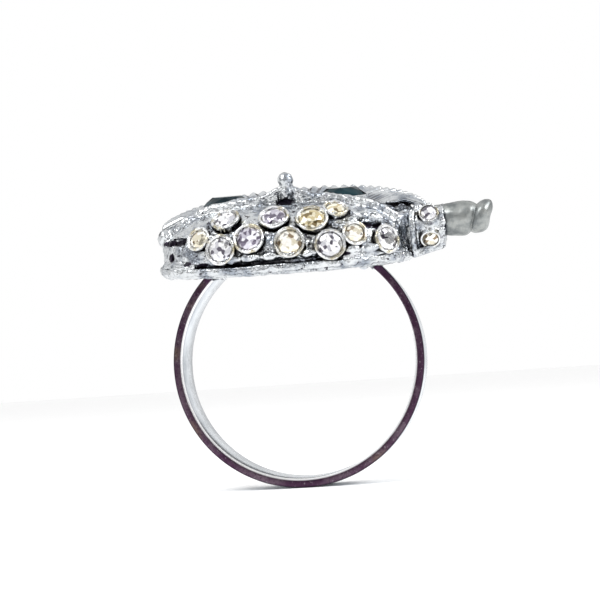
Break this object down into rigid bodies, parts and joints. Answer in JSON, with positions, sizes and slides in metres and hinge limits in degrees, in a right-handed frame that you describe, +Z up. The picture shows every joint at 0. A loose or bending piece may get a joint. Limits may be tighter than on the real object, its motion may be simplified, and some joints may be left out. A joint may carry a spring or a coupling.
{
  "type": "cocktail ring",
  "caption": "Cocktail ring: silver-coloured jewelled half-mask with dark eye stones, fluted crest and a side handle, soldered to a flat strip shank.",
  "frame": {"origin": "centre of the finger hole, on the shank's axis and in the middle of its width", "axes": "+Y runs along the finger, away from the jewelled cheek of the mask; +Z goes up through the head; +X goes towards the handle"},
  "size_m": [0.0259, 0.0152, 0.0241],
  "materials": {
    "bright_plate": "bright plated cast metal, lumpy and pitted",
    "tarnished_plate": "polished plate with mauve tarnish on its edges",
    "satin_plate": "satin grey plate",
    "cup_plate": "thin pressed cups, slightly yellowed",
    "solder": "smooth silver solder",
    "clear_stone": "cut glass, foil backed",
    "yellow_stone": "cut glass, foil yellowed",
    "dark_stone": "cut black-teal glass"
  },
  "bodies": {
    "root": {"shank": "tarnished_plate", "shank_solder": "solder", "back_plate": "bright_plate", "mask_casting": "bright_plate", "nose": "bright_plate", "crest": "bright_plate", "cheek_cups": "cup_plate", "eye_bezel_left": "bright_plate", "eye_bezel_right": "bright_plate", "eye_stone_left": "dark_stone", "eye_stone_right": "dark_stone", "ferrule": "bright_plate", "ferrule_saddle": "bright_plate", "ferrule_cups": "cup_plate", "handle": "satin_plate", "cheek_stone_1": "clear_stone", "cheek_stone_2": "clear_stone", "cheek_stone_3": "clear_stone", "cheek_stone_4": "clear_stone", "cheek_stone_5": "clear_stone", "cheek_stone_6": "clear_stone", "cheek_stone_7": "yellow_stone", "cheek_stone_8": "yellow_stone", "cheek_stone_9": "clear_stone", "cheek_stone_10": "clear_stone", "cheek_stone_11": "clear_stone", "ferrule_stone_1": "clear_stone", "ferrule_stone_2": "clear_stone"}
  },
  "joints": []
}
